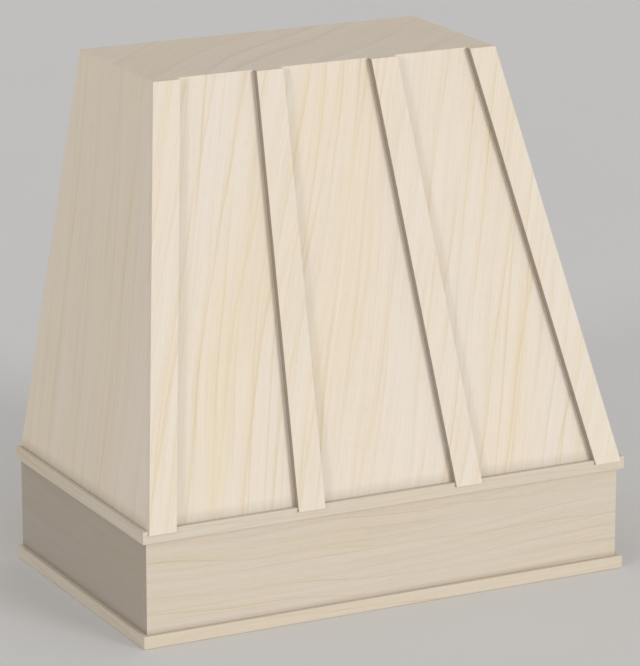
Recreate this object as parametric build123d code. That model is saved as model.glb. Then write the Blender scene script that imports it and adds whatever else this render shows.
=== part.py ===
from build123d import *
import os
from math import atan, degrees, hypot

# Wooden range hood cover: a mitred, tapered body on an upright apron, banded by two trims.
# Frame: X to the right, Y towards the wall, Z up. The origin is on the wall plane, at the middle
# of the width and level with the bottom edge. Millimetres.

inch = 25.4

# Overall form
hood_width = 36 * inch  # across the apron boards
hood_depth = 21 * inch  # wall to the apron's face
hood_height = 36 * inch
apron_height = 8 * inch
top_width = 26 * inch
top_depth = 11.5 * inch  # wall to the front panel's face, at the top

# Stock
panel_thick = 0.5 * inch  # plywood of the body
board_thick = 0.75 * inch  # apron boards, rails and cleats
batten_width = 2 * inch
batten_thick = 0.5 * inch
trim_height = 0.875 * inch
trim_proud = 0.375 * inch

# Joints
trim_lap = 4.5  # how far the upper trim stands above the apron's top edge
foot_housing = 6.6  # depth of the housings in the upper trim that hold the battens' feet
batten_spacing = 1 / 3  # centre line of an inner batten, as a share of the half width

# Inner frame
waist_rail_drop = 1.5 * inch  # below the apron's top edge
waist_rail_rise = 1.5 * inch  # above it, bevelled to the body's slope
back_rail_height = 3.5 * inch
top_cleat_height = 0.75 * inch
top_cleat_width = 1.25 * inch
liner_cleat_height = 1.5 * inch
liner_recess = 1.5 * inch  # underside of the liner cleats above the bottom edge
block_leg = 0.75 * inch  # glue blocks, along each face of the corner

# Screws, all driven from inside. They are small and many, so their round parts have few sides.
screw_radius = 2.1
screw_tip = 5.0
screw_sides = 8
screw_head_radius = 4.2
screw_head_height = 2.2
screw_head_taper = 20.0
screw_head_sides = 12
bore_clearance = 0.05  # round a shank, on the radius
batten_screw_length = 0.75 * inch
top_screw_length = 1.0 * inch
rail_screw_length = 1.0 * inch
board_screw_length = 1.25 * inch
batten_screw_levels = (0.08, 0.36, 0.64, 0.92)  # shares of the slope's length
outer_batten_screw_in = 1.6 * inch  # from the corner, clear of the glue block
front_screws, front_screw_spacing = 4, 9 * inch
side_screws, side_screw_spacing = 3, 7 * inch
top_front_screws, top_front_screw_spacing = 3, 8 * inch
top_side_screws, top_side_screw_spacing = 2, 4 * inch
rail_end_screws, rail_end_screw_spacing = 2, 2 * inch
pocket_radius = 4.75
pocket_angle = 15.0  # to the rail's length
pocket_step = 16.0  # from the pocket's shoulder to the rail's end
pocket_length = 2 * inch
wall_hole_radius = 2.75
wall_holes, wall_hole_spacing = 2, 16 * inch  # wall studs

# Derived
rise = hood_height - apron_height
side_run = (hood_width - top_width) / 2
front_run = hood_depth - top_depth
front_slope_length = hypot(rise, front_run)
trim_top = apron_height + trim_lap
foot_level = trim_top - foot_housing
panel_underside = hood_height - panel_thick
top_rail_low = panel_underside - back_rail_height
waist_back_low = apron_height - back_rail_height
margin = 2 * inch  # waste that a saw cut takes off a blank
hands = {"left": -1, "right": 1}


# Faces of the finished hood. Each normal points out of it.
def side_face(hand, inset=0.0):
    """Sloping side of the body, hand -1 left and +1 right, moved inwards by inset."""
    face = Plane(origin=(hand * hood_width / 2, 0, apron_height), z_dir=(hand * rise, 0, side_run))
    return face.offset(-inset)


def front_face(inset=0.0):
    """Sloping front of the body. Its local x is the hood's X and its local y runs up the slope."""
    face = Plane(
        origin=(0, -hood_depth, apron_height),
        x_dir=(1, 0, 0),
        z_dir=(0, -rise, front_run),
    )
    return face.offset(-inset)


def ceiling(z):
    return Plane(origin=(0, 0, z), z_dir=(0, 0, 1))


def floor(z):
    return Plane(origin=(0, 0, z), z_dir=(0, 0, -1))


def upright(x=0.0, y=0.0, toward=(0, 1, 0)):
    return Plane(origin=(x, y, 0), z_dir=toward)


def corner_point(one, other):
    """A point of the line in which two faces meet."""
    share = one.z_dir.dot(other.z_dir)
    reach, other_reach = one.z_dir.dot(one.origin), other.z_dir.dot(other.origin)
    along = one.z_dir * (reach - other_reach * share) + other.z_dir * (other_reach - reach * share)
    return along * (1 / (1 - share**2))


def mitre(own, other):
    """Saw plane that halves the corner of two outer faces, with the other face's side as waste."""
    return Plane(origin=corner_point(own, other), z_dir=other.z_dir - own.z_dir)


def saw(blank, *cuts):
    """What is left of a blank behind every saw plane."""
    for cut in cuts:
        blank = split(blank, bisect_by=cut, keep=Keep.BOTTOM)
    return blank


def block(*spans):
    """A box between two bounds on each of X, Y and Z."""
    middle = [(one + other) / 2 for one, other in spans]
    size = [abs(one - other) for one, other in spans]
    return Pos(*middle) * Box(*size)


def level_thickness(run):
    """A body panel's thickness measured level, where it draws in by run over the body's rise."""
    return panel_thick * hypot(rise, run) / rise


# Body
def tapered_block():
    """The body's outer form: a frustum with an upright back."""
    foot = Plane.XY.offset(apron_height) * Pos(0, -hood_depth / 2) * Rectangle(hood_width, hood_depth)
    head = Plane.XY.offset(hood_height) * Pos(0, -top_depth / 2) * Rectangle(top_width, top_depth)
    return loft([foot, head])


def body_shell():
    """The block hollowed to the panels' thickness, open at the wall and at the bottom."""
    hollow = block((-hood_width / 2, hood_width / 2), (-hood_depth, margin), (0, panel_underside))
    inner_faces = [side_face(hand, panel_thick) for hand in hands.values()] + [front_face(panel_thick)]
    return tapered_block() - saw(hollow, *inner_faces)


def body_panels():
    """The shell cut along its mitres into two sides, a front and a top."""
    shell = body_shell()
    left, right = [side_face(hand) for hand in hands.values()]
    front, top = front_face(), ceiling(hood_height)
    return {
        "side_panel_left": saw(shell, mitre(left, front), mitre(left, top)),
        "side_panel_right": saw(shell, mitre(right, front), mitre(right, top)),
        "front_panel": saw(shell, mitre(front, left), mitre(front, right), mitre(front, top)),
        "top_panel": saw(shell, mitre(top, left), mitre(top, right), mitre(top, front)),
    }


# Battens
def strip(foot_x, head_x, width, shift, behind):
    """A strip on the sloping front between two points of its bottom and top edges.

    shift moves it sideways, and behind is how far it reaches through the front face.
    """
    lean = degrees(atan((foot_x - head_x) / front_slope_length))
    outline = (
        front_face(behind)
        * Pos((foot_x + head_x) / 2, front_slope_length / 2)
        * Rot(0, 0, lean)
        * Pos(shift, 0)
        * Rectangle(width, front_slope_length + 2 * margin)
    )
    return saw(extrude(outline, batten_thick + behind), ceiling(hood_height), floor(foot_level))


def inner_batten(hand, behind=0.0):
    share = hand * batten_spacing
    return strip(share * hood_width / 2, share * top_width / 2, batten_width, 0, behind)


def outer_batten(hand, behind=0.0):
    """Along the corner, with its outer edge bevelled to the side's slope."""
    shift = hand * (margin - batten_width) / 2
    blank = strip(hand * hood_width / 2, hand * top_width / 2, batten_width + margin, shift, behind)
    return saw(blank, side_face(hand))


def battens(behind=0.0):
    return {
        "batten_outer_left": outer_batten(hands["left"], behind),
        "batten_inner_left": inner_batten(hands["left"], behind),
        "batten_inner_right": inner_batten(hands["right"], behind),
        "batten_outer_right": outer_batten(hands["right"], behind),
    }


# Boards round the apron
def front_board(z_span, thick, proud):
    """A board along the apron's front, mitred at both ends. proud is its face's reach past it."""
    half, reach = hood_width / 2 + proud, hood_depth + proud
    front = upright(0, -reach, (0, -1, 0))
    sides = [upright(hand * half, 0, (hand, 0, 0)) for hand in hands.values()]
    blank = block((-half, half), (-reach, thick - reach), z_span)
    return saw(blank, *[mitre(front, side) for side in sides])


def side_board(hand, z_span, thick, proud):
    """A board along the apron's side, from the wall to the mitre at the front corner."""
    half, reach = hood_width / 2 + proud, hood_depth + proud
    blank = block((hand * half, hand * (half - thick)), (-reach, 0), z_span)
    return saw(blank, mitre(upright(hand * half, 0, (hand, 0, 0)), upright(0, -reach, (0, -1, 0))))


def banding(name, z_span, thick, proud):
    sides = {f"{name}_{side}": side_board(hand, z_span, thick, proud) for side, hand in hands.items()}
    return {f"{name}_front": front_board(z_span, thick, proud)} | sides


def trims():
    """Lower and upper trim. The upper one's front is housed for the battens' feet."""
    pieces = banding("lower_trim", (0, trim_height), trim_proud, trim_proud)
    pieces |= banding("upper_trim", (trim_top - trim_height, trim_top), trim_proud, trim_proud)
    for foot in battens(behind=panel_thick).values():
        pieces["upper_trim_front"] -= foot
    return pieces


# Inner frame
def waist_section(edge_in, slope_run):
    """Section of a waist rail, in distances in from the hood's outer face and levels.

    It laps over the inner part of the apron's top edge, and its upper part leans with the panel,
    whose inner face is edge_in from the outer face at the apron's top.
    """
    low, high = apron_height - waist_rail_drop, apron_height + waist_rail_rise
    lean = waist_rail_rise * slope_run / rise
    return [
        (board_thick, low),
        (board_thick, apron_height),
        (edge_in, apron_height),
        (edge_in + lean, high),
        (2 * board_thick, high),
        (2 * board_thick, low),
    ]


def waist_rails():
    """Side rails from the back rail to the apron's front, and a front rail between them."""
    rails = {}
    apron_back = upright(0, board_thick - hood_depth, (0, -1, 0))
    side_ends = (front_face(panel_thick), apron_back, upright(0, -board_thick))
    for side, hand in hands.items():
        section = waist_section(level_thickness(side_run), side_run)
        outline = Polyline(*[(hand * (hood_width / 2 - inwards), z) for inwards, z in section], close=True)
        blank = extrude(Plane.XZ * make_face(outline), hood_depth)
        rails[f"waist_rail_{side}"] = saw(blank, *side_ends)
    section = waist_section(level_thickness(front_run), front_run)
    outline = Polyline(*[(inwards - hood_depth, z) for inwards, z in section], close=True)
    half = hood_width / 2 - 2 * board_thick
    rails["waist_rail_front"] = extrude(Plane.YZ.offset(-half) * make_face(outline), 2 * half)
    return rails


def back_rail(low, *ends):
    """A cross rail against the wall, cut at its ends by the given planes."""
    half = hood_width / 2
    return saw(block((-half, half), (-board_thick, 0), (low, low + back_rail_height)), *ends)


def wall_drills(z):
    """Clearance holes at one level for screws into two wall studs."""
    drill = Rot(90, 0, 0) * Cylinder(wall_hole_radius, 4 * board_thick)
    return [Pos(x, 0, z) * drill for x in spread(wall_hole_spacing, wall_holes)]


def back_rails():
    """Top rail under the top panel, and two across the apron.

    The lowest wall holes pass under the liner cleat.
    """
    half = hood_width / 2 - board_thick
    apron_ends = [upright(hand * half, 0, (hand, 0, 0)) for hand in hands.values()]
    body_ends = [side_face(hand, panel_thick) for hand in hands.values()]
    top_holes = wall_drills(top_rail_low + back_rail_height / 2)
    return {
        "back_rail_top": back_rail(top_rail_low, *body_ends) - top_holes,
        "back_rail_waist": back_rail(waist_back_low, *apron_ends),
        "back_rail_bottom": back_rail(0, *apron_ends) - wall_drills(liner_recess / 2),
    }


def top_cleats():
    """Strips under the top panel, bevelled to the body's slope. The front one runs right across."""
    inner_half = top_width / 2 - panel_thick - top_cleat_width
    inner_front = panel_thick + top_cleat_width - top_depth
    z_span = (panel_underside - top_cleat_height, panel_underside)
    across = block((-hood_width / 2, hood_width / 2), (-hood_depth, inner_front), z_span)
    sides = [side_face(hand, panel_thick) for hand in hands.values()]
    cleats = {"top_cleat_front": saw(across, front_face(panel_thick), *sides)}
    for side, hand in hands.items():
        along = block((hand * inner_half, hand * hood_width / 2), (inner_front, -board_thick), z_span)
        cleats[f"top_cleat_{side}"] = saw(along, side_face(hand, panel_thick))
    return cleats


def corner_blocks():
    """Three-sided glue blocks up the front corners, from the waist rail to the top cleat."""
    z_span = (apron_height + waist_rail_rise, panel_underside - top_cleat_height)
    front = front_face(panel_thick)
    blocks = {}
    for side_name, hand in hands.items():
        side = side_face(hand, panel_thick)
        outward = (side.z_dir + front.z_dir).normalized()
        inner = Plane(origin=corner_point(side, front) - outward * block_leg / 2**0.5, z_dir=outward * -1)
        blank = block((0, hand * hood_width / 2), (-hood_depth, 0), z_span)
        blocks[f"corner_block_{side_name}"] = saw(blank, side, front, inner)
    return blocks


def apron_blocks():
    """Three-sided glue blocks in the front corners of the apron, between liner cleat and waist rail."""
    low, high = liner_recess + liner_cleat_height, apron_height - waist_rail_drop
    y = board_thick - hood_depth
    blocks = {}
    for side, hand in hands.items():
        x = hand * (hood_width / 2 - board_thick)
        outline = Polyline((x, y), (x - hand * block_leg, y), (x, y + block_leg), close=True)
        blocks[f"apron_block_{side}"] = extrude(Plane.XY.offset(low) * make_face(outline), high - low)
    return blocks


def liner_cleats():
    """The ledge round the apron's inside that the insert's liner is screwed up against."""
    half = hood_width / 2 - board_thick
    front, back = board_thick - hood_depth, -board_thick
    z_span = (liner_recess, liner_recess + liner_cleat_height)
    cleats = {
        "liner_cleat_front": block((-half, half), (front, front + board_thick), z_span),
        "liner_cleat_back": block((-half, half), (back - board_thick, back), z_span),
    }
    for side, hand in hands.items():
        x_span = (hand * half, hand * (half - board_thick))
        cleats[f"liner_cleat_{side}"] = block(x_span, (front + board_thick, back - board_thick), z_span)
    return cleats


# Screws
def screw(length):
    """A pan-head wood screw pointing down, with the underside of its head at the origin."""
    shank = extrude(RegularPolygon(screw_radius, screw_sides), screw_tip - length)
    tip_base = Plane.XY.offset(screw_tip - length) * RegularPolygon(screw_radius, screw_sides)
    tip = loft([tip_base.face(), Vertex(0, 0, -length)])
    head_base = RegularPolygon(screw_head_radius, screw_head_sides)
    return extrude(head_base, screw_head_height, taper=screw_head_taper) + shank + tip


def spread(spacing, count):
    """Places of so many like things in a row, about its middle."""
    return [(place - (count - 1) / 2) * spacing for place in range(count)]


def fasten(nodes, name, length, seats, *boards):
    """Drives like screws, as one node, and bores what they go through: the nodes so named at their start.

    A seat is a plane on the wood under a head, and its normal points out of the wood.
    """
    bore = extrude(RegularPolygon(screw_radius + bore_clearance, screw_sides), -length - bore_clearance)
    for board in [node for node in nodes if node.startswith(boards)]:
        nodes[board] -= [seat * bore for seat in seats]
    nodes[name] = Compound([seat * screw(length) for seat in seats])


def batten_seats():
    """On the inner face of the front panel, behind each batten."""
    face = front_face(panel_thick)
    inner_line = (batten_spacing * hood_width / 2, batten_spacing * top_width / 2)
    outer_line = (hood_width / 2 - outer_batten_screw_in, top_width / 2 - outer_batten_screw_in)
    seats = []
    for foot_x, head_x in (inner_line, outer_line):
        for level in batten_screw_levels:
            x = foot_x + (head_x - foot_x) * level
            places = [face * Pos(hand * x, level * front_slope_length) for hand in hands.values()]
            seats += [Plane(origin=place.position, z_dir=face.z_dir * -1) for place in places]
    return seats


def apron_seats(z):
    """Round the apron at one level, on the inner faces of rails or cleats that line its boards."""
    inset = 2 * board_thick
    front_places = spread(front_screw_spacing, front_screws)
    seats = [Plane(origin=(x, inset - hood_depth, z), z_dir=(0, 1, 0)) for x in front_places]
    for hand in hands.values():
        x = hand * (hood_width / 2 - inset)
        for y in spread(side_screw_spacing, side_screws):
            seats.append(Plane(origin=(x, y - hood_depth / 2, z), z_dir=(-hand, 0, 0)))
    return seats


def back_cleat_seats(z):
    places = spread(front_screw_spacing, front_screws)
    return [Plane(origin=(x, -2 * board_thick, z), z_dir=(0, -1, 0)) for x in places]


def top_seats():
    """On the undersides of the top cleats."""
    inset = panel_thick + top_cleat_width / 2
    places = [(x, inset - top_depth) for x in spread(top_front_screw_spacing, top_front_screws)]
    for hand in hands.values():
        x = hand * (top_width / 2 - inset)
        places += [(x, y - top_depth / 2) for y in spread(top_side_screw_spacing, top_side_screws)]
    z = panel_underside - top_cleat_height
    return [Plane(origin=(x, y, z), z_dir=(0, 0, -1)) for x, y in places]


def pocket_seats(low, end_x, lean):
    """Shoulders of the slanting screw pockets at both ends of a back rail.

    end_x is how far the rail's end is from the middle at its lower edge, and lean how much it
    draws in per unit of height.
    """
    slant = Vector(1, 0, 0).rotate(Axis.Z, pocket_angle)
    seats = []
    for hand in hands.values():
        toward = Vector(hand * slant.X, slant.Y, 0)
        for up in spread(rail_end_screw_spacing, rail_end_screws):
            height = back_rail_height / 2 + up
            way_out = Vector(hand * (end_x - height * lean), -board_thick / 2, low + height)
            seats.append(Plane(origin=way_out - toward * pocket_step, z_dir=toward * -1))
    return seats


def drive_rail_screws(nodes):
    """Pockets in the back rails' front faces, and the screws in them."""
    lean = side_run / rise
    apron_end = hood_width / 2 - board_thick
    body_end = hood_width / 2 - level_thickness(side_run) - (top_rail_low - apron_height) * lean
    rails = {
        "back_rail_bottom": pocket_seats(0, apron_end, 0),
        "back_rail_waist": pocket_seats(waist_back_low, apron_end, 0),
        "back_rail_top": pocket_seats(top_rail_low, body_end, lean),
    }
    pocket = extrude(RegularPolygon(pocket_radius, screw_head_sides), pocket_length)
    for rail, seats in rails.items():
        nodes[rail] -= [seat * pocket for seat in seats]
    seats = [seat for rail_seats in rails.values() for seat in rail_seats]
    sides = ("apron_left", "apron_right", "side_panel_")
    fasten(nodes, "back_rail_screws", rail_screw_length, seats, *rails, *sides)


def drive_screws(nodes):
    aprons = ("apron_front", "apron_left", "apron_right")
    fasten(nodes, "batten_screws", batten_screw_length, batten_seats(), "front_panel", "batten_")
    cleat_z = liner_recess + liner_cleat_height / 2
    seats = apron_seats(cleat_z) + back_cleat_seats(cleat_z)
    lined = (*aprons, "back_rail_bottom")
    fasten(nodes, "liner_cleat_screws", board_screw_length, seats, "liner_cleat_", *lined)
    seats = apron_seats(apron_height - waist_rail_drop / 2)
    fasten(nodes, "waist_rail_screws", board_screw_length, seats, "waist_rail_", *aprons)
    fasten(nodes, "top_cleat_screws", top_screw_length, top_seats(), "top_panel", "top_cleat_")
    drive_rail_screws(nodes)


# Assembly
def build_hood():
    nodes = body_panels() | battens()
    nodes |= banding("apron", (0, apron_height), board_thick, 0)
    nodes |= trims() | waist_rails() | back_rails() | top_cleats()
    nodes |= corner_blocks() | apron_blocks() | liner_cleats()
    drive_screws(nodes)
    return nodes


os.makedirs("parts", exist_ok=True)
for node, shape in build_hood().items():
    export_step(shape, f"parts/{node}.step")
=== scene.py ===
from collections import namedtuple
from math import cos, hypot, pi, radians, sin

import bmesh
import bpy
from mathutils import Matrix, Vector
from mathutils.geometry import intersect_plane_plane


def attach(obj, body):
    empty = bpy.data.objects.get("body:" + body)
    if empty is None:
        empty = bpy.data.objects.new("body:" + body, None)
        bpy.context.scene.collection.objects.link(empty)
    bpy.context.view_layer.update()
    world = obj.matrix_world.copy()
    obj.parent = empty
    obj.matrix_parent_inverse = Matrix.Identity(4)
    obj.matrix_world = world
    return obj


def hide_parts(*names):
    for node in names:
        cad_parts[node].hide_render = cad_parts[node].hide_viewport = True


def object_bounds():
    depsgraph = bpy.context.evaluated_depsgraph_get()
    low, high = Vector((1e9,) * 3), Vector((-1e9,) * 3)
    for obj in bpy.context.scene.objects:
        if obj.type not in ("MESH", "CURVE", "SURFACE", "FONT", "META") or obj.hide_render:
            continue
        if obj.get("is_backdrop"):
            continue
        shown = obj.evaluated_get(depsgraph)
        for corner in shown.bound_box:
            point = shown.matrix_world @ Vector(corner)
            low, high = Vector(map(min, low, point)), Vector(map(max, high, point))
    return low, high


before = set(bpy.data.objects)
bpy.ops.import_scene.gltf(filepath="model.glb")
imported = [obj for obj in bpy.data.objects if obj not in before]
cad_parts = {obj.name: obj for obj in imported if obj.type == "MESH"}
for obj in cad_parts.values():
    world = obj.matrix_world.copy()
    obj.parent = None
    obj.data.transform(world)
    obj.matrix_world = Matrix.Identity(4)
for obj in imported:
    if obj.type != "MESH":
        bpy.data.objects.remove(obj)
cad_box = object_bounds()


# Body panels. Two sloping sides, a sloping front and a level top of 12.7 mm plywood faced with a
# pale veneer. They are sawn with compound mitres, so that no ply shows at a corner, and glued.
mm = 0.001
hood_half, hood_depth, hood_height = 457.2 * mm, 533.4 * mm, 914.4 * mm
apron_height = 203.2 * mm
top_half, top_depth = 330.2 * mm, 292.1 * mm
ply_thick = 12.7 * mm
rise = hood_height - apron_height
side_run, front_run = hood_half - top_half, hood_depth - top_depth
hands = {"left": -1, "right": 1}
blank_size = 4.0  # metres, larger than any piece
touching = 0.01 * mm  # what is closer than this lies together
sanded = 0.5 * mm  # how far an edge is eased
exactly, nearly, roughly = 0.9999, 0.95, 0.6  # least cosines between two ways taken as one

Face = namedtuple("Face", "point out")


def face(point, out):
    """A flat face of the finished wood: a point on it, and the way out of the wood."""
    return Face(Vector(point), Vector(out).normalized())


def square(axis, level, way):
    """A face square to the x, y or z axis, at a level of it, looking up it (1) or down it (-1)."""
    on = [axis == one for one in "xyz"]
    return face([level * here for here in on], [way * here for here in on])


def sunk(outer, depth):
    """The same face, deeper in the wood."""
    return Face(outer.point - outer.out * depth, outer.out)


def behind(outer, depth=0.0):
    """The back of a board whose outer face is given, looking the other way."""
    return Face(outer.point - outer.out * depth, -outer.out)


def mitre(own, other):
    """The saw cut that halves a corner, with the other face's side as waste."""
    point, _ = intersect_plane_plane(own.point, own.out, other.point, other.out)
    return face(point, other.out - own.out)


def ease(board, joints, depth):
    """Takes the sharpness off the edges that meet no joint, as sandpaper does."""
    board.normal_update()

    def on(joint, facet):
        away = (facet.calc_center_median() - joint.point).dot(joint.out)
        return facet.normal.dot(joint.out) > exactly and abs(away) < touching

    def glued(facet):
        return any(on(joint, facet) for joint in joints)

    edges = [
        edge
        for edge in board.edges
        if edge.is_convex and not any(glued(facet) for facet in edge.link_faces)
    ]
    bmesh.ops.bevel(
        board, geom=edges, offset=depth, segments=2, profile=0.5, affect="EDGES", clamp_overlap=True
    )


def sawn(open_faces, joints=(), blank=None, eased=sanded):
    """What the saw leaves of a blank behind every face, with its open edges eased."""
    board = blank or bmesh.new()
    if not blank:
        bmesh.ops.create_cube(board, size=blank_size)
    for point, out in (*open_faces, *joints):
        parts = board.verts[:] + board.edges[:] + board.faces[:]
        cut = bmesh.ops.bisect_plane(
            board, geom=parts, dist=touching / 10, plane_co=point, plane_no=out, clear_outer=True
        )
        rim = [part for part in cut["geom_cut"] if isinstance(part, bmesh.types.BMEdge)]
        bmesh.ops.holes_fill(board, edges=[edge for edge in rim if edge.is_boundary])
    bmesh.ops.recalc_face_normals(board, faces=board.faces[:])
    ease(board, joints, eased)
    return board


def lay_grain(mesh, along, outer, start, raw):
    """Gives every point its place in the tree: across the grain, along it and out of the bark side.

    Faces across the grain are marked, because they take up more finish and are darker, and so are
    those that look the given ways, which the material multiplies by a tone: painted shade on the
    battens' sides, a lighter wood tone on the hidden faces of the apron's side boards.
    """
    along = (along - outer.out * along.dot(outer.out)).normalized()
    across = along.cross(outer.out)
    laid = mesh.attributes.new("grain", "FLOAT_VECTOR", "POINT")
    for spot, vertex in zip(laid.data, mesh.vertices):
        away = vertex.co - outer.point
        spot.vector = Vector((away.dot(across), away.dot(along), away.dot(outer.out))) + start
    cut = mesh.attributes.new("end_grain", "FLOAT", "FACE")
    edge = mesh.attributes.new("raw_edge", "FLOAT", "FACE")
    for number, facet in enumerate(mesh.polygons):
        cut.data[number].value = abs(facet.normal.dot(along)) > roughly
        edge.data[number].value = any(facet.normal.dot(way) > nearly for way in raw)


def meshed(name, form):
    """What was worked as a bmesh, as a mesh."""
    mesh = bpy.data.meshes.new(name)
    form.to_mesh(mesh)
    form.free()
    return mesh


def placed(name, content):
    """A mesh, a light or a camera as an object of the scene."""
    body = bpy.data.objects.new(name, content)
    bpy.context.scene.collection.objects.link(body)
    return body


def dress(node, mesh):
    """Puts a finished piece in the place of the plain solid with the same name."""
    piece = placed(mesh.name, mesh)
    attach(piece, "root")
    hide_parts(node)


def fit(node, board, finish, along, outer, start=(0, 0, 0), raw=()):
    """Dresses a node in wood. start is where in the tree the board was cut, so that none match."""
    mesh = meshed(f"{node}_dressed", board)
    lay_grain(mesh, Vector(along), outer, Vector(start), raw)
    mesh.materials.append(finish)
    dress(node, mesh)


class Wire:
    """What comes out of a node. Arithmetic on it adds Math nodes."""

    def __init__(self, bench, socket):
        self.bench, self.socket = bench, socket

    def __add__(self, other):
        return self.bench.maths("ADD", self, other)

    def __sub__(self, other):
        return self.bench.maths("SUBTRACT", self, other)

    def __rsub__(self, other):
        return self.bench.maths("SUBTRACT", other, self)

    def __mul__(self, other):
        return self.bench.maths("MULTIPLY", self, other)

    def __truediv__(self, other):
        return self.bench.maths("DIVIDE", self, other)

    def __pow__(self, other):
        return self.bench.maths("POWER", self, other)

    __radd__, __rmul__ = __add__, __mul__


class Bench:
    """A node tree at work."""

    def __init__(self, tree):
        self.tree = tree
        tree.nodes.clear()

    def node(self, kind, settings=None, inputs=None, outputs=(0,)):
        """Adds a node: its kind, settings, what its sockets take, and the outputs wanted."""
        made = self.tree.nodes.new(kind)
        for name, value in (settings or {}).items():
            setattr(made, name, value)
        for socket, value in (inputs or {}).items():
            for one in value if isinstance(value, list) else [value]:
                if isinstance(one, Wire):
                    self.tree.links.new(one.socket, made.inputs[socket])
                else:
                    made.inputs[socket].default_value = one
        wires = [Wire(self, made.outputs[output]) for output in outputs]
        return wires[0] if len(wires) == 1 else wires

    def maths(self, operation, *terms):
        """One step of arithmetic."""
        return self.node("ShaderNodeMath", {"operation": operation}, dict(enumerate(terms)))

    def place(self, x, y, z):
        """Three numbers as one vector."""
        return self.node("ShaderNodeCombineXYZ", {}, {0: x, 1: y, 2: z})

    def split(self, vector):
        """A vector as its three numbers."""
        return self.node("ShaderNodeSeparateXYZ", {}, {0: vector}, (0, 1, 2))

    def told(self, name, output):
        """What a mesh holds under a name. Output 1 gives a vector, and 2 a number."""
        return self.node("ShaderNodeAttribute", {"attribute_name": name}, {}, (output,))

    def spot(self):
        """The place on the object, in metres."""
        return self.node("ShaderNodeTexCoord", {}, {}, ("Object",))

    def noise(self, place, scale, detail=2.0):
        """Soft noise from 0 to 1, with so many waves to the metre on each axis of place."""
        spread = self.node("ShaderNodeVectorMath", {"operation": "MULTIPLY"}, {0: place, 1: scale})
        inputs = {"Vector": spread, "Scale": 1.0, "Detail": detail}
        return self.node("ShaderNodeTexNoise", {}, inputs)

    def blend(self, share, one, other, way="MIX"):
        """From one colour to the other."""
        settings = {"data_type": "RGBA", "clamp_factor": True, "blend_type": way}
        return self.node("ShaderNodeMix", settings, {0: share, 6: one, 7: other}, (2,))

    def surface(self, sockets):
        """Ends a material with a shader whose sockets take these."""
        shader = self.node("ShaderNodeBsdfPrincipled", {}, sockets)
        self.node("ShaderNodeOutputMaterial", {}, {"Surface": shader}, ())


def blank_material(name):
    """A new material, and the bench to work its nodes on."""
    material = bpy.data.materials.new(name)
    material.use_nodes = True
    return material, Bench(material.node_tree)


def tint(red, green, blue):
    """A colour as a paint card gives it, 0 to 255, for a shader."""
    levels = [level / 255 for level in (red, green, blue)]
    return (*[v / 12.92 if v <= 0.04045 else ((v + 0.055) / 1.055) ** 2.4 for v in levels], 1.0)


def darker(colour, share):
    """A colour with only a share of its light."""
    return (*[level * share for level in colour[:3]], 1.0)


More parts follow.
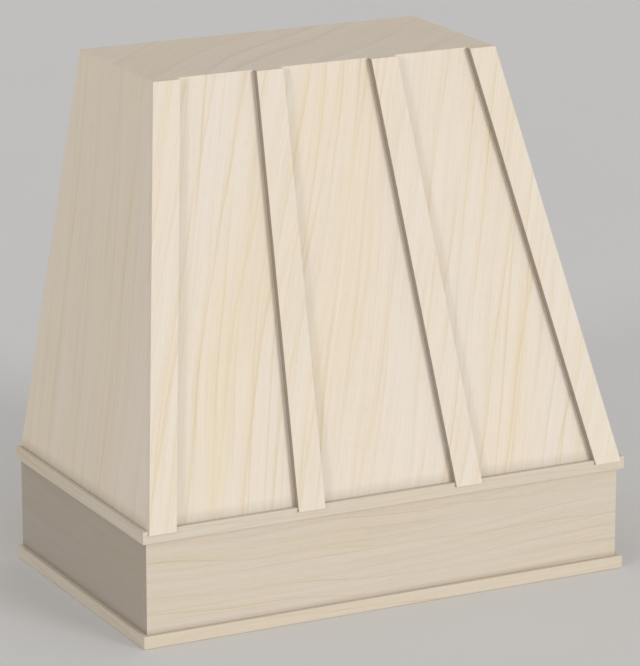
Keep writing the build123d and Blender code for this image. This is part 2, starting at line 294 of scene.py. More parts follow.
def wood(
    name, pale, warm, late, spacing, wander, strength,
    lean=0.0, mottle=2.8, edge_tone_and_shade=(1, 1, 1), plies=None, rough=0.55, corner=None,
):
    """Sawn wood. Late-wood lines, about spacing apart, wander over a ground from pale to warm.

    Each line rises softly on one side and ends sooner on the other, as a year's growth does. A
    second set, wider apart, runs into the first at slight angles, and both come and go. Shade is
    painted into the colour towards an inside corner: corner gives how near it is, 0 to 1, from the
    height above the floor and the place out of the bark side.
    """
    material, bench = blank_material(name)
    grain = bench.told("grain", 1)
    across, along, out = bench.split(grain)
    drift = (bench.noise(grain, (2.4, 1.1, 2.4), 1.0) - 0.5) * (2 * wander)
    # The saw goes through the year rings at about 35 degrees.
    rift = across * 0.82 + out * 0.57 - along * lean + drift

    def growth(apart, ripple_scale, slant=0.0):
        """One set of year lines, the warm wood before each, and the way the wood flows."""
        ripple = (bench.noise(grain, ripple_scale, 1.0) - 0.5) * (0.7 * wander)
        flow = rift + along * slant + ripple
        years = flow / apart
        year = bench.maths("FLOOR", years)
        season = years - year
        luck = bench.node("ShaderNodeTexWhiteNoise", {"noise_dimensions": "1D"}, {"W": year})
        way = bench.place(flow, along, out)
        patchy = bench.maths("MAXIMUM", (bench.noise(way, (21, 2.2, 21), 2.0) - 0.33) * 5.5, 0.0)
        ended = bench.maths("MINIMUM", (1 - season) * 16, 1.0)
        line = season ** (9 + luck * 10) * ended * (0.2 + luck * 0.9) * patchy
        return line, season**2.6 * luck, way

    line, halo, way = growth(spacing, ripple_scale=(6, 2.4, 6))
    other_line, other_halo, _ = growth(spacing * 1.62, ripple_scale=(4.4, 3.1, 4.4), slant=-0.05)
    line = bench.maths("MAXIMUM", line, other_line)
    strand = bench.noise(way, (64, 1.1, 64), 2.0)
    fibre = bench.noise(way, (300, 4.5, 300), 3.0)
    hair = bench.noise(way, (1500, 24, 1500), 2.0)
    cloud = bench.noise(way, (9, 1.1, 9), 2.0)
    fleck = bench.noise(way, (1700, 46, 1700), 1.0)
    fleck = bench.maths("MAXIMUM", (fleck - 0.6) * 5, 0.0)

    warmth = (cloud - 0.5) * mottle + (strand - 0.5) * 0.9 + 0.34 + (halo + other_halo) * 0.25
    ground = bench.blend(line * strength, bench.blend(warmth, pale, warm), late)
    fine = (fibre - 0.5) * 0.6 + (strand - 0.5) * 0.2 + (hair - 0.5) * 0.45
    ground = bench.blend(fine * 0.5 + fleck * 0.2 + 0.03, ground, darker(late, 0.62))
    # Faces that look the marked ways are multiplied by a tone: painted shade on the battens' sides,
    # a lighter wood tone on the apron side boards' hidden faces.
    ground = bench.blend(bench.told("raw_edge", 2), ground, (*edge_tone_and_shade, 1.0), "MULTIPLY")
    end = bench.told("end_grain", 2)
    pores = bench.noise(grain, (900, 900, 900), 2.0)
    ground = bench.blend(end * (0.05 + pores * 0.4), ground, darker(late, 0.85))
    height = fine + line * 0.6 - fleck * 0.8 - end * pores
    roughness = rough + fine * 0.12 - line * 0.08 + end * 0.12
    if plies:
        # Behind the face veneer the sawn edge shows the core, layer on layer, with dark glue seams.
        face_ply, core_ply, cross, glue = plies
        deep = out * -1
        layer = (deep - face_ply) / core_ply
        count = bench.maths("FLOOR", layer)
        odd = bench.maths("MODULO", count, 2.0)
        seam = (bench.maths("ABSOLUTE", layer - count - 0.5) * 2) ** 14
        core = bench.blend(odd * (0.45 + pores * 0.55), warm, cross)
        core = bench.blend(seam * 0.8, core, glue)
        inside = bench.maths("COMPARE", deep, ply_thick / 2, ply_thick / 2 - face_ply)
        ground = bench.blend(inside, ground, core)
        height = height + inside * (odd * pores - 0.5)
    # Painted shade: the colour darkens towards an inside corner, where shade falls.
    if corner:
        up = bench.split(bench.spot())[2]
        painted_corner_shade = corner(bench, up, out) * (0.16 + cloud * 0.22)
        ground = bench.blend(painted_corner_shade, ground, darker(pale, 0.3))
    relief = {"Strength": 0.22, "Distance": 0.25 * mm, "Height": height}
    bench.surface({
        "Base Color": ground, "Roughness": roughness,
        "Normal": bench.node("ShaderNodeBump", {}, relief),
        "IOR": 1.45, "Specular IOR Level": 0.35,
    })
    return material


side = {
    name: face((hand * hood_half, 0, apron_height), (hand * rise, 0, side_run))
    for name, hand in hands.items()
}
front = face((0, -hood_depth, apron_height), (0, -rise, front_run))
top = square("z", hood_height, 1)
wall = square("y", 0, 1)
on_apron = square("z", apron_height, -1)
up_side = Vector((0, 0.12, 1))  # the veneer's grain leans a little
up_front = Vector((0.2, 0, 1))
over_top = Vector((0.74, 0.67, 0))
plies = (0.8 * mm, 2.22 * mm, tint(176, 142, 100), tint(92, 66, 44))
trim_top = 207.7 * mm  # where the body comes out of the upper trim


def painted_shade_above_ledge(level, reach):
    """Painted shade in the corner of a show face and the ledge at its foot, fading out so far up
    the face.
    """

    def painted_shade_share(bench, up, out):
        shown = bench.maths("GREATER_THAN", out, -sanded)
        return (1 - (up - level) / reach) * shown

    return painted_shade_share


# The body panels darken in painted shade just above the upper trim.
painted_shade_above_trim = painted_shade_above_ledge(trim_top, 19 * mm)
front_veneer = wood(
    "front_veneer",
    pale=tint(231, 220, 207),
    warm=tint(231, 217, 194),
    late=tint(211, 186, 134),
    spacing=27 * mm,
    wander=27 * mm,
    strength=1.0,
    lean=0.045,
    plies=plies,
    corner=painted_shade_above_trim,
)
side_veneer = wood(
    "side_veneer",
    pale=tint(234, 222, 206),
    warm=tint(233, 218, 195),
    late=tint(212, 190, 154),
    spacing=38 * mm,
    wander=34 * mm,
    strength=0.65,
    lean=-0.02,
    plies=plies,
    corner=painted_shade_above_trim,
)
top_veneer = wood(
    "top_veneer",
    pale=tint(221, 209, 193),
    warm=tint(221, 206, 184),
    late=tint(200, 178, 144),
    spacing=56 * mm,
    wander=52 * mm,
    strength=0.7,
    plies=plies,
)


def panel(node, outer, meets, finish, along, start=(0, 0, 0), ends=()):
    """A board of ply, mitred to the panels that it meets. All but the top stand on the apron."""
    foot = [] if outer is top else [on_apron]
    corners = [mitre(outer, other) for other in meets]
    board = sawn([outer, behind(outer, ply_thick), *ends], [*foot, *corners])
    fit(node, board, finish, along, outer, start)


for name, hand in hands.items():
    start = (hand * 3.1, 0.4, 0)
    panel(f"side_panel_{name}", side[name], [front, top], side_veneer, up_side, start, [wall])
panel("front_panel", front, [*side.values(), top], front_veneer, up_front)
panel("top_panel", top, [*side.values(), front], top_veneer, over_top, (1.7, 0.9, 0), [wall])


# Battens. Four flat strips of pale hardwood fan down the front, glued and screwed from inside.
# The outer two are bevelled flush with the sides, and all four feet stand in the upper trim.
batten_width, batten_thick = 50.8 * mm, 12.7 * mm
foot_level = 201.1 * mm
inner_foot, inner_head = hood_half / 3, top_half / 3
lightly_sanded = 0.35 * mm
hairline = 0.8 * mm  # groove along a batten's open edge, where it meets the panel
flat_on = 0.99  # least cosine between a batten's back and the panel that it lies on


def new_tree(name, inputs):
    """A geometry tree with named inputs, the bench to work on it, and a wire from each input."""
    tree = bpy.data.node_groups.new(name, "GeometryNodeTree")
    bench = Bench(tree)
    tree.interface.new_socket("Geometry", in_out="OUTPUT", socket_type="NodeSocketGeometry")
    for label, kind in inputs.items():
        tree.interface.new_socket(label, in_out="INPUT", socket_type=f"NodeSocket{kind}")
    return tree, bench, bench.node("NodeGroupInput", {}, {}, tuple(range(len(inputs))))


def end_tree(bench, shape, finish):
    """Ends a geometry tree with one plain mesh in its finish."""
    shape = bench.node("GeometryNodeRealizeInstances", {}, {0: shape})
    shape = bench.node("GeometryNodeSetMaterial", {}, {"Geometry": shape, "Material": finish})
    bench.node("NodeGroupOutput", {}, {0: shape}, ())


def batten_tree():
    """A strip on the sloping front, set out from the line between two points of its edges."""
    sizes = (
        "Foot", "Head", "Left", "Right", "Left bevel", "Right bevel", "Thickness", "Foot level",
    )
    inputs = dict.fromkeys(sizes, "Float") | {"Finish": "Material"}
    tree, bench, given = new_tree("fanned_batten", inputs)
    foot, head, left, right, left_bevel, right_bevel, thick, low, finish = given

    def vector(operation, *terms, scale=1.0):
        inputs = dict(enumerate(terms)) | {3: scale}
        return bench.node("ShaderNodeVectorMath", {"operation": operation}, inputs)

    blank = bench.node("GeometryNodeMeshCube", {}, {"Size": (1, 1, 1)})
    x, y, z = bench.split(bench.node("GeometryNodeInputPosition"))
    to_right, outward, upward = x + 0.5, 0.5 - y, z + 0.5
    line = vector("NORMALIZE", bench.place(head - foot, front_run, rise))
    sideways = vector("CROSS_PRODUCT", line, tuple(front.out))
    right_reach = to_right * (right + outward * right_bevel)
    reach = right_reach - (1 - to_right) * (left + outward * left_bevel)
    aside = vector("SCALE", sideways, scale=reach)
    lifted = vector("ADD", aside, vector("SCALE", tuple(front.out), scale=outward * thick))
    level = low + upward * (hood_height - low)
    climb = (level - apron_height - bench.split(lifted)[2]) / bench.split(line)[2]
    start = bench.place(foot, -hood_depth, apron_height)
    end = vector("ADD", vector("ADD", start, lifted), vector("SCALE", line, scale=climb))
    strip = bench.node("GeometryNodeSetPosition", {}, {"Geometry": blank, "Position": end})
    end_tree(bench, strip, finish)
    return tree


def evaluated(body):
    """The plain mesh that an object's modifiers make. The object itself goes."""
    depsgraph = bpy.context.evaluated_depsgraph_get()
    mesh = bpy.data.meshes.new_from_object(body.evaluated_get(depsgraph), depsgraph=depsgraph)
    body.modifiers.clear()
    bpy.data.objects.remove(body)
    return mesh


def grown(name, tree, inputs, points=None):
    """The plain mesh that a tree makes from named inputs."""
    body = placed(name, points or bpy.data.meshes.new(name))
    modifier = body.modifiers.new(name, "NODES")
    modifier.node_group = tree
    items = tree.interface.items_tree
    sockets = {item.name: item.identifier for item in items if item.in_out == "INPUT"}
    for label, value in inputs.items():
        modifier[sockets[label]] = value
    return evaluated(body)


hardwood = wood(
    "pale_hardwood",
    pale=tint(231, 220, 207),
    warm=tint(231, 217, 194),
    late=tint(211, 186, 134),
    spacing=27 * mm,
    wander=27 * mm,
    strength=0.75,
    lean=0.09,
    mottle=2.0,
    # The battens' side faces are darkened to half: painted shade, darker than the light there
    # gives.
    edge_tone_and_shade=(0.5, 0.5, 0.5),
)
fan = batten_tree()
for name, hand in hands.items():
    corner_line = Vector((-hand * side_run, front_run, rise)).normalized()
    aside = corner_line.cross(front.out)
    flush = -batten_thick * side[name].out.dot(front.out) / side[name].out.dot(aside) * hand
    half = batten_width / 2
    inner = {"Foot": hand * inner_foot, "Head": hand * inner_head, "Left": half, "Right": half}
    outer = {"Foot": hand * hood_half, "Head": hand * top_half}
    edges = ("Left", "Right bevel") if hand > 0 else ("Right", "Left bevel")
    outer |= dict(zip(edges, (batten_width, flush)))
    for kind, sizes in (("inner", inner), ("outer", outer)):
        sizes |= {"Thickness": batten_thick, "Foot level": foot_level, "Finish": hardwood}
        strip = bmesh.new()
        strip.from_mesh(grown(f"batten_{kind}", fan, sizes))
        bmesh.ops.recalc_face_normals(strip, faces=strip.faces[:])
        ease(strip, [behind(front), square("z", foot_level, -1)], lightly_sanded)
        # The ways of the batten sides that take the painted shade.
        raw = [aside, -aside] if kind == "inner" else [-hand * aside]
        hidden = [
            edge
            for edge in strip.edges
            if any(facet.normal.dot(front.out) < -flat_on for facet in edge.link_faces)
            and any(facet.normal.dot(way) > nearly for facet in edge.link_faces for way in raw)
        ]
        bmesh.ops.bevel(
            strip, geom=hidden, offset=hairline, segments=2, profile=0.5, affect="EDGES"
        )
        bmesh.ops.remove_doubles(strip, verts=strip.verts[:], dist=touching)
        fit(f"batten_{kind}_{name}", strip, hardwood, up_front, front, raw=raw)


# Apron. Three 19.05 mm hardwood boards stand upright below the body, mitred at the front corners
# and screwed to the rails inside. The side boards' show faces are plainer and greyer.
board_thick = 19.05 * mm
trim_height = 22.225 * mm  # of the band round its foot


def between(low, high):
    """The level bottom and top of a piece."""
    return [square("z", low, -1), square("z", high, 1)]


def banded(low, high, thick, proud):
    """A front and two side boards round the apron, mitred at the front corners."""
    level = between(low, high)
    ahead = square("y", -hood_depth - proud, -1)
    beside = {name: square("x", hand * (hood_half + proud), hand) for name, hand in hands.items()}
    corners = [mitre(ahead, flank) for flank in beside.values()]
    yield "front", ahead, sawn([ahead, behind(ahead, thick), *level], corners)
    for name, flank in beside.items():
        board = sawn([flank, behind(flank, thick), *level, wall], [mitre(flank, ahead)])
        yield name, flank, board


along_x, along_y = Vector((1, 0, 0)), Vector((0, 1, 0))
# The apron boards darken in painted shade just above the lower trim.
painted_shade_above_band = painted_shade_above_ledge(trim_height, 10 * mm)
apron_front_wood = wood(
    "apron_front_wood",
    pale=tint(216, 205, 191),
    warm=tint(215, 202, 180),
    late=tint(200, 176, 134),
    spacing=15 * mm,
    wander=40 * mm,
    strength=0.9,
    mottle=1.4,
    corner=painted_shade_above_band,
)
apron_side_wood = wood(
    "apron_side_wood",
    pale=tint(183, 173, 161),
    warm=tint(182, 170, 153),
    late=tint(170, 151, 125),
    spacing=30 * mm,
    wander=24 * mm,
    strength=0.5,
    edge_tone_and_shade=(1.42, 1.32, 1.16),
    corner=painted_shade_above_band,
)
for name, flank, board in banded(0, apron_height, board_thick, 0):
    if name == "front":
        fit("apron_front", board, apron_front_wood, along_x, flank, (0, 5.2, 0))
    else:
        raw = [-flank.out, along_y]
        start = (hands[name] * 2.3, 1.1, 0)
        fit(f"apron_{name}", board, apron_side_wood, along_y, flank, start, raw)


# Trims. A 22.2 by 9.5 mm band of hardwood round the apron's bottom edge and one round its top
# edge, mitred and glued. The upper one stands 4.5 mm above the apron and houses the battens' feet.
trim_proud = 9.525 * mm
overrun = 20 * mm  # of a cutting tool past the wood


def painted_shade_against_board(bench, up, out):
    """Painted shade on a trim's ledges, darker the nearer they come to the board that it stands on.
    """
    return (out / -trim_proud) ** 2 * 1.5


trim_wood = wood(
    "trim_wood",
    pale=tint(218, 208, 193),
    warm=tint(217, 203, 180),
    late=tint(203, 178, 134),
    spacing=12 * mm,
    wander=22 * mm,
    strength=1.0,
    corner=painted_shade_against_board,
)


def joined(forms):
    """Several forms as one."""
    whole = bmesh.new()
    for form in forms:
        whole.from_mesh(meshed("form", form))
    return whole


def carved(blank, tools):
    """The blank with every tool's shape taken out of it."""
    board = placed("blank", meshed("blank", blank))
    tool = placed("tools", meshed("tools", tools))
    modifier = board.modifiers.new("carve", "BOOLEAN")
    modifier.operation, modifier.solver, modifier.object = "DIFFERENCE", "EXACT", tool
    cut = bmesh.new()
    cut.from_mesh(evaluated(board))
    bpy.data.objects.remove(tool)
    return cut


def batten_feet():
    """The battens as they pass through the upper trim."""
    inner = (inner_foot, inner_head, batten_width / 2)
    outer = (hood_half, top_half, batten_width)
    for name, hand in hands.items():
        for foot, head, reach in (inner, outer):
            line = Vector((hand * (head - foot), front_run, rise)).normalized()
            aside = line.cross(front.out)
            start = Vector((hand * foot, -hood_depth, apron_height))
            edges = [Face(start + aside * reach, aside), Face(start - aside * reach, -aside)]
            if foot == hood_half:
                edges[0 if hand > 0 else 1] = side[name]
            level = between(foot_level, trim_top + overrun)
            flats = [sunk(front, -batten_thick), behind(front, ply_thick)]
            yield sawn([*flats, *edges, *level], eased=0)


for band, low in (("lower_trim", 0), ("upper_trim", trim_top - trim_height)):
    for name, flank, strip in banded(low, low + trim_height, trim_proud, trim_proud):
        if (band, name) == ("upper_trim", "front"):
            strip = carved(strip, joined(batten_feet()))
        along = along_x if name == "front" else along_y
        start = (low * 9, len(name) * 1.3, 0)
        fit(f"{band}_{name}", strip, trim_wood, along, flank, start)


# Waist rails. Softwood rails screwed on behind the joint of body and apron. They lap over the
# apron's top edge, and above it their outer side leans with the panels.
frame_wood = wood(
    "frame_softwood",
    pale=tint(224, 203, 168),
    warm=tint(217, 189, 144),
    late=tint(188, 146, 98),
    spacing=6 * mm,
    wander=16 * mm,
    strength=0.9,
    rough=0.66,
)
rail_drop, rail_rise = 38.1 * mm, 38.1 * mm
rail_inner = hood_half - 2 * board_thick


def frame_piece(node, board, along, outer, start):
    """Dresses a node in the softwood of the inner frame."""
    fit(node, board, frame_wood, along, outer, start)


def lengths_of(section, run):
    """A blank of one section, drawn out along run."""
    blank = bmesh.new()
    corners = [blank.verts.new(corner) for corner in section]
    end = bmesh.ops.extrude_face_region(blank, geom=[blank.faces.new(corners)])["geom"]
    far = [part for part in end if isinstance(part, bmesh.types.BMVert)]
    bmesh.ops.translate(blank, verts=far, vec=run)
    bmesh.ops.recalc_face_normals(blank, faces=blank.faces[:])
    return blank


def rail_section(run):
    """In from the hood's outer face, and up."""
    edge = ply_thick * hypot(rise, run) / rise
    low, high = apron_height - rail_drop, apron_height + rail_rise
    outer = [(board_thick, low), (board_thick, apron_height), (edge, apron_height)]
    inner = [(2 * board_thick, high), (2 * board_thick, low)]
    return [*outer, (edge + rail_rise * run / rise, high), *inner]


apron_back = square("y", board_thick - hood_depth, -1)
on_back_rail = square("y", -board_thick, 1)
for name, hand in hands.items():
    section = [
        Vector((hand * (hood_half - inwards), -hood_depth, z))
        for inwards, z in rail_section(side_run)
    ]
    blank = lengths_of(section, Vector((0, hood_depth, 0)))
    rail = sawn([], [sunk(front, ply_thick), apron_back, on_back_rail], blank)
    inner = square("x", hand * rail_inner, -hand)
    frame_piece(f"waist_rail_{name}", rail, along_y, inner, (0.4 * hand, 0.2, 0))
section = [
    Vector((-rail_inner, inwards - hood_depth, z)) for inwards, z in rail_section(front_run)
]
blank = lengths_of(section, Vector((2 * rail_inner, 0, 0)))
inner = square("y", 2 * board_thick - hood_depth, 1)
frame_piece("waist_rail_front", sawn([], [], blank), along_x, inner, (0.9, 0.7, 0))


# Back rails. Three softwood rails, 88.9 by 19.05 mm, stiffen the open back. Their ends are held by
# screws in slanting pockets, and the top and bottom ones are drilled for screws into wall studs.
rail_height = 88.9 * mm
top_rail_low = hood_height - ply_thick - rail_height
pocket_step, pocket_slant, pocket_spacing = 16 * mm, radians(15), 50.8 * mm
pocket_radius, pocket_length = 4.75 * mm, 50.8 * mm
wall_hole_radius, stud_spacing, low_hole_level = 2.75 * mm, 406.4 * mm, 19.05 * mm


def row(spacing, count):
    """Places of so many screws in a row, about its middle."""
    return [(number - (count - 1) / 2) * spacing for number in range(count)]


def rod(base, way, radius, length, sides=32):
    """A round cutter from base, along way."""
    turned = way.to_track_quat("Z", "Y").to_matrix().to_4x4()
    bar = bmesh.new()
    centre = Matrix.Translation(base + way * length / 2) @ turned
    bmesh.ops.create_cone(
        bar, cap_ends=True, segments=sides, radius1=radius, radius2=radius, depth=length,
        matrix=centre,
    )
    return bar


def pocket_seats(low, end, lean):
    """Where the heads of the pocket screws bear, each with the way that its head looks."""
    for hand in hands.values():
        toward = Vector((hand * cos(pocket_slant), sin(pocket_slant), 0))
        for up in row(pocket_spacing, 2):
            height = rail_height / 2 + up
            way_out = Vector((hand * (end - height * lean), -board_thick / 2, low + height))
            yield way_out - toward * pocket_step, -toward


apron_end = hood_half - board_thick
body_end = hood_half - ply_thick * hypot(rise, side_run) / rise
body_end -= (top_rail_low - apron_height) * side_run / rise
in_apron = [square("x", hand * apron_end, hand) for hand in hands.values()]
in_body = [sunk(flank, ply_thick) for flank in side.values()]
back_screws = []
for name, low, hole_level, ends, end, lean in (
    ("top", top_rail_low, top_rail_low + rail_height / 2, in_body, body_end, side_run / rise),
    ("waist", apron_height - rail_height, None, in_apron, apron_end, 0),
    ("bottom", 0, low_hole_level, in_apron, apron_end, 0),
):
    seats = list(pocket_seats(low, end, lean))
    back_screws += seats
    cutters = [rod(seat, look, pocket_radius, pocket_length) for seat, look in seats]
    if hole_level:
        drill = Vector((0, -1, 0))
        starts = [Vector((x, overrun, hole_level)) for x in row(stud_spacing, 2)]
        cutters += [rod(start, drill, wall_hole_radius, 3 * overrun) for start in starts]
    inner = square("y", -board_thick, -1)
    rail = sawn([inner, wall, *between(low, low + rail_height)], ends)
    rail = carved(rail, joined(cutters))
    frame_piece(f"back_rail_{name}", rail, along_x, inner, (1.9 + low, 0.3 + low, 0))


# Cleats. Softwood strips under the top panel, bevelled to the slope of the body, and a ledge round
# the inside of the apron that the liner of the insert is screwed up against.
cleat_high = hood_height - ply_thick
cleat_width, cleat_thick = 31.75 * mm, 19.05 * mm
cleat_low = cleat_high - cleat_thick
ledge_low, ledge_high = 38.1 * mm, 76.2 * mm
below, against = between(cleat_low, cleat_high)
inner_front = square("y", ply_thick + cleat_width - top_depth, 1)
cleat = sawn([below, inner_front], [against, sunk(front, ply_thick), *in_body])
frame_piece("top_cleat_front", cleat, along_x, inner_front, (3.3, 0.1, 0))
for name, hand in hands.items():
    inner = square("x", hand * (top_half - ply_thick - cleat_width), -hand)
    joints = [against, sunk(side[name], ply_thick), behind(inner_front), on_back_rail]
    cleat = sawn([below, inner], joints)
    frame_piece(f"top_cleat_{name}", cleat, along_y, inner, (4.1, hand * 0.6, 0))

ledge = between(ledge_low, ledge_high)
inner = square("y", 2 * board_thick - hood_depth, 1)
cleat = sawn([*ledge, inner], [*in_apron, apron_back])
frame_piece("liner_cleat_front", cleat, along_x, inner, (5.3, 0, 0))
inner_back = square("y", -2 * board_thick, -1)
cleat = sawn([*ledge, inner_back], [*in_apron, on_back_rail])
frame_piece("liner_cleat_back", cleat, along_x, inner_back, (6.7, 0.5, 0))
for name, hand in hands.items():
    inner_side = square("x", hand * rail_inner, -hand)
    joints = [square("x", hand * apron_end, hand), behind(inner), behind(inner_back)]
    cleat = sawn([*ledge, inner_side], joints)
    frame_piece(f"liner_cleat_{name}", cleat, along_y, inner_side, (7.9, hand * 0.3, 0))


# Glue blocks. Three-sided strips of softwood rubbed into the front corners, one pair inside the
# body and one inside the apron.
block_leg = 19.05 * mm
for name, hand in hands.items():
    flank, ahead = sunk(side[name], ply_thick), sunk(front, ply_thick)
    corner, line = intersect_plane_plane(flank.point, flank.out, ahead.point, ahead.out)
    outward = (flank.out + ahead.out).normalized()
    inner = Face(corner - outward * block_leg / 2**0.5, -outward)
    ends = between(apron_height + rail_rise, cleat_low)
    up = line if line.z > 0 else -line
    block = sawn([inner], [flank, ahead, *ends])
    frame_piece(f"corner_block_{name}", block, up, inner, (8.2, hand, 0))

    x, y = hand * apron_end, board_thick - hood_depth
    inner = face((x - hand * block_leg / 2, y + block_leg / 2, 0), (-hand, 1, 0))
    ends = between(ledge_high, apron_height - rail_drop)
    block = sawn([inner], [square("x", x, hand), apron_back, *ends])
    frame_piece(f"apron_block_{name}", block, Vector((0, 0, 1)), inner, (9.4, hand, 0))


# Screws. Zinc-plated pan-head wood screws with a square recess, all driven from inside the hood.
# Each kind is one piece: the same screw many times, each turned by chance about its length.
screw_radius, head_radius, head_height = 2.1 * mm, 4.2 * mm, 2.2 * mm
tip, pitch = 5.0 * mm, 1.9 * mm


def zinc():
    """Zinc plating, clouded and finely scratched."""
    material, bench = blank_material("zinc_plated_steel")
    cloud = bench.noise(bench.spot(), (260, 260, 260), 3.0)
    scratch = bench.noise(bench.spot(), (2600, 300, 2600), 2.0)
    relief = {"Strength": 0.2, "Distance": 0.05 * mm, "Height": scratch}
    bench.surface({
        "Base Color": bench.blend((cloud - 0.35) * 1.6, tint(196, 198, 203), tint(168, 164, 150)),
        "Metallic": 1.0,
        "Roughness": 0.28 + scratch * 0.22,
        "Normal": bench.node("ShaderNodeBump", {}, relief),
    })
    return material


def screw_tree():
    """One screw, set on every point with its head looking along the point's way."""
    sizes = ("Length", "Radius", "Head radius", "Head height", "Tip", "Pitch")
    inputs = {"Seats": "Geometry"} | dict.fromkeys(sizes, "Float") | {"Finish": "Material"}
    tree, bench, given = new_tree("wood_screws", inputs)
    seats, length, radius, head, high, point, pitch, finish = given

    def moved(shape, up):
        by = {"Geometry": shape, "Translation": bench.place(0, 0, up)}
        return bench.node("GeometryNodeTransform", {}, by)

    # The head is a disc whose rim falls away in a curve, with the driver's square cut out of it.
    rim_falls, rim_curve = 0.34, 2.4
    key_wide, key_high, key_up = 0.62, 1.5, 1.15  # shares of the head's radius and height
    disc = {"Vertices": 24, "Side Segments": 5, "Fill Segments": 3, "Radius": head, "Depth": high}
    cap = moved(bench.node("GeometryNodeMeshCylinder", {}, disc), high * 0.5)
    x, y, z = bench.split(bench.node("GeometryNodeInputPosition"))
    drawn_in = 1 - (z / high) ** rim_curve * rim_falls
    pulled = bench.place(x * drawn_in, y * drawn_in, z)
    cap = bench.node("GeometryNodeSetPosition", {}, {"Geometry": cap, "Position": pulled})
    key = bench.place(head * key_wide, head * key_wide, high * key_high)
    key = moved(bench.node("GeometryNodeMeshCube", {}, {"Size": key}), high * key_up)
    carve = {"operation": "DIFFERENCE", "solver": "EXACT"}
    cap = bench.node("GeometryNodeMeshBoolean", carve, {0: cap, 1: key})
    merge = {"Geometry": cap, "Distance": 2 * touching}
    cap = bench.node("GeometryNodeMergeByDistance", {}, merge)

    # The shank is straight down to the tip, and the thread winds up the lower part of it.
    core_share, blunt, sides = 0.68, 0.02, 12
    threaded, thread_reach = 0.72, 0.98  # share of the shank, and just inside the full radius
    core = radius * core_share
    straight = length - point
    shank = {"Vertices": sides, "Radius": core, "Depth": straight}
    shank = moved(bench.node("GeometryNodeMeshCylinder", {}, shank), straight * -0.5)
    end = {
        "Vertices": sides, "Radius Top": core, "Radius Bottom": radius * blunt, "Depth": point,
    }
    end = moved(bench.node("GeometryNodeMeshCone", {}, end), length * -1)
    helix = {
        "Resolution": sides, "Rotations": straight * threaded / pitch,
        "Start Radius": core, "End Radius": core, "Height": straight * threaded,
    }
    path = moved(bench.node("GeometryNodeCurveSpiral", {}, helix), straight * -1)
    ridge = {"Resolution": 3, "Radius": (radius - core) * thread_reach}
    ridge = bench.node("GeometryNodeCurvePrimitiveCircle", {}, ridge)
    thread = {"Curve": path, "Profile Curve": ridge, "Fill Caps": True}
    thread = bench.node("GeometryNodeCurveToMesh", {}, thread)
    whole = bench.node("GeometryNodeJoinGeometry", {}, {0: [thread, end, shank, cap]})

    look = bench.node("GeometryNodeInputNamedAttribute", {"data_type": "FLOAT_VECTOR"}, {0: "look"})
    aim = bench.node("FunctionNodeAlignRotationToVector", {"axis": "Z"}, {"Vector": look})
    screws = {"Points": seats, "Instance": whole, "Rotation": aim}
    screws = bench.node("GeometryNodeInstanceOnPoints", {}, screws)
    chance = {2: 0.0, 3: 2 * pi, "Seed": 7}
    spin = bench.node("FunctionNodeRandomValue", {"data_type": "FLOAT"}, chance, (1,))
    turned = {"Instances": screws, "Rotation": bench.place(0, 0, spin)}
    end_tree(bench, bench.node("GeometryNodeRotateInstances", {}, turned), finish)
    return tree


inner_face = sunk(front, ply_thick)
clear_of_block = 40.64 * mm  # in from the corner
up_the_strip = (0.08, 0.36, 0.64, 0.92)  # shares of a batten's length
batten_seats = []
for hand in hands.values():
    corner = (hood_half - clear_of_block, top_half - clear_of_block)
    for foot, head in ((inner_foot, inner_head), corner):
        for share in up_the_strip:
            up_slope = Vector((0, front_run, rise)) * share
            x = hand * (foot + (head - foot) * share)
            seat = inner_face.point + up_slope + Vector((x, 0, 0))
            batten_seats.append((seat, -inner_face.out))

front_places, side_places = row(228.6 * mm, 4), row(177.8 * mm, 3)


def apron_seats(z):
    """Round the inside of the apron at one level."""
    seats = [(Vector((x, 2 * board_thick - hood_depth, z)), along_y) for x in front_places]
    for hand in hands.values():
        for y in side_places:
            seat = Vector((hand * rail_inner, y - hood_depth / 2, z))
            seats.append((seat, Vector((-hand, 0, 0))))
    return seats


ledge_middle = (ledge_low + ledge_high) / 2
cleat_seats = apron_seats(ledge_middle)
cleat_seats += [(Vector((x, -2 * board_thick, ledge_middle)), -along_y) for x in front_places]
inset = ply_thick + cleat_width / 2
down = Vector((0, 0, -1))
top_front_places, top_side_places = row(203.2 * mm, 3), row(101.6 * mm, 2)
top_seats = [(Vector((x, inset - top_depth, cleat_low)), down) for x in top_front_places]
for hand in hands.values():
    for y in top_side_places:
        top_seats.append((Vector((hand * (top_half - inset), y - top_depth / 2, cleat_low)), down))

steel, screw_kit = zinc(), screw_tree()
for node, length, seats in (
    ("batten_screws", 19.05 * mm, batten_seats),
    ("liner_cleat_screws", 31.75 * mm, cleat_seats),
    ("waist_rail_screws", 31.75 * mm, apron_seats(apron_height - rail_drop / 2)),
    ("top_cleat_screws", 25.4 * mm, top_seats),
    ("back_rail_screws", 25.4 * mm, back_screws),
):
    points = bpy.data.meshes.new("seats")
    points.from_pydata([seat for seat, _ in seats], [], [])
    looks = points.attributes.new("look", "FLOAT_VECTOR", "POINT")
    for spot, (_, look) in zip(looks.data, seats):
        spot.vector = look
    sizes = {
        "Length": length, "Radius": screw_radius, "Head radius": head_radius,
        "Head height": head_height, "Tip": tip, "Pitch": pitch, "Finish": steel,
    }
    mesh = grown(node, screw_kit, sizes, points)
    mesh.name = f"{node}_dressed"
    dress(node, mesh)


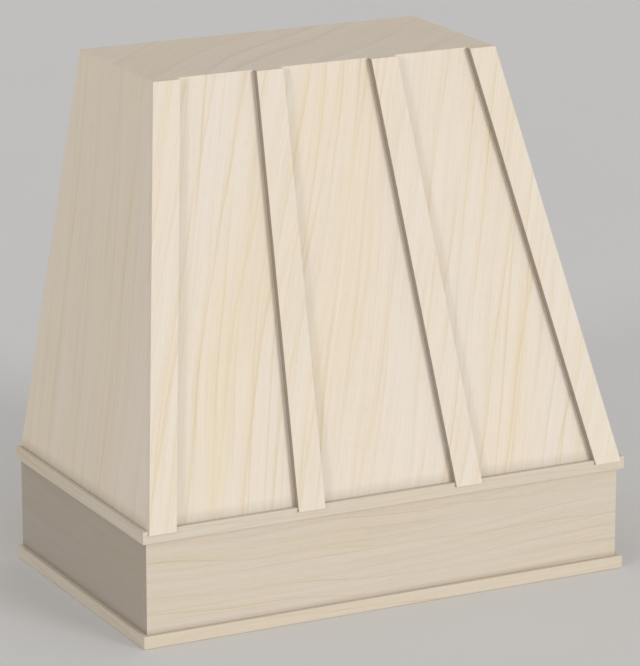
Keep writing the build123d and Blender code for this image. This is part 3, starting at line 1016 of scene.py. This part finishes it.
# Floor, light and camera. The hood stands on a pale floor under a large soft key light from the
# front right, with a weaker one from the left. The camera has the photo's place and perspective.
scene = bpy.context.scene
pale_floor, bench = blank_material("pale_floor")
cloud = bench.noise(bench.spot(), (1.3, 1.3, 1.3), 4.0)
shade = bench.blend(cloud, tint(222, 222, 222), tint(227, 226, 225))
bench.surface({"Base Color": shade, "Roughness": 0.9, "Specular IOR Level": 0.1})
floor_reach, floor_gap = 40, 0.5 * mm  # out from the hood in metres, and clear of its foot
ground = bmesh.new()
bmesh.ops.create_grid(ground, x_segments=2, y_segments=2, size=floor_reach)
floor = placed("floor", meshed("floor", ground))
floor.data.materials.append(pale_floor)
floor.location.z = -floor_gap
floor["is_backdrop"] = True


def lamp(name, azimuth, elevation, strength, softness):
    """A far soft light. Azimuth 0 is in front of the hood and 90 to its right."""
    light = bpy.data.lights.new(name, "SUN")
    light.energy, light.angle = strength * pi, radians(softness)
    lit = placed(name, light)
    turn, climb = radians(azimuth), radians(elevation)
    way = Vector((sin(turn) * cos(climb), -cos(turn) * cos(climb), sin(climb)))
    lit.rotation_euler = way.to_track_quat("Z", "Y").to_euler()


lamp("key", azimuth=25, elevation=13, strength=0.41, softness=22)
lamp("fill", azimuth=-63, elevation=16, strength=0.16, softness=10)

scene.world = bpy.data.worlds.new("studio")
scene.world.use_nodes = True
bench = Bench(scene.world.node_tree)
rays = ("Is Camera Ray", "Is Glossy Ray", "Is Transmission Ray")
camera_ray, glossy, clear = bench.node("ShaderNodeLightPath", {}, {}, rays)
seen = bench.maths("MAXIMUM", bench.maths("MAXIMUM", camera_ray, glossy), clear)
sky = {"Color": (1.0, 0.985, 0.965, 1.0), "Strength": 0.56}
sky = bench.node("ShaderNodeBackground", {}, sky)
backdrop = {"Color": (0.86, 0.87, 0.88, 1.0), "Strength": 1.0}
backdrop = bench.node("ShaderNodeBackground", {}, backdrop)
both = bench.node("ShaderNodeMixShader", {}, {0: seen, 1: sky, 2: backdrop})
bench.node("ShaderNodeOutputWorld", {}, {"Surface": both}, ())

view = bpy.data.cameras.new("photo_view")
view.lens, view.sensor_width, view.clip_end = 218.2, 36, 200
camera = placed("photo_view", view)
camera.location = (-3.1010, -6.3584, 2.3504)
camera.rotation_euler = (radians(90 - 15.740), 0, radians(-27.015))
scene.camera = camera
scene.view_settings.view_transform = "Standard"

boxes = {"cad": cad_box, "scene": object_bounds()}
{name: [list(low), list(high)] for name, (low, high) in boxes.items()}
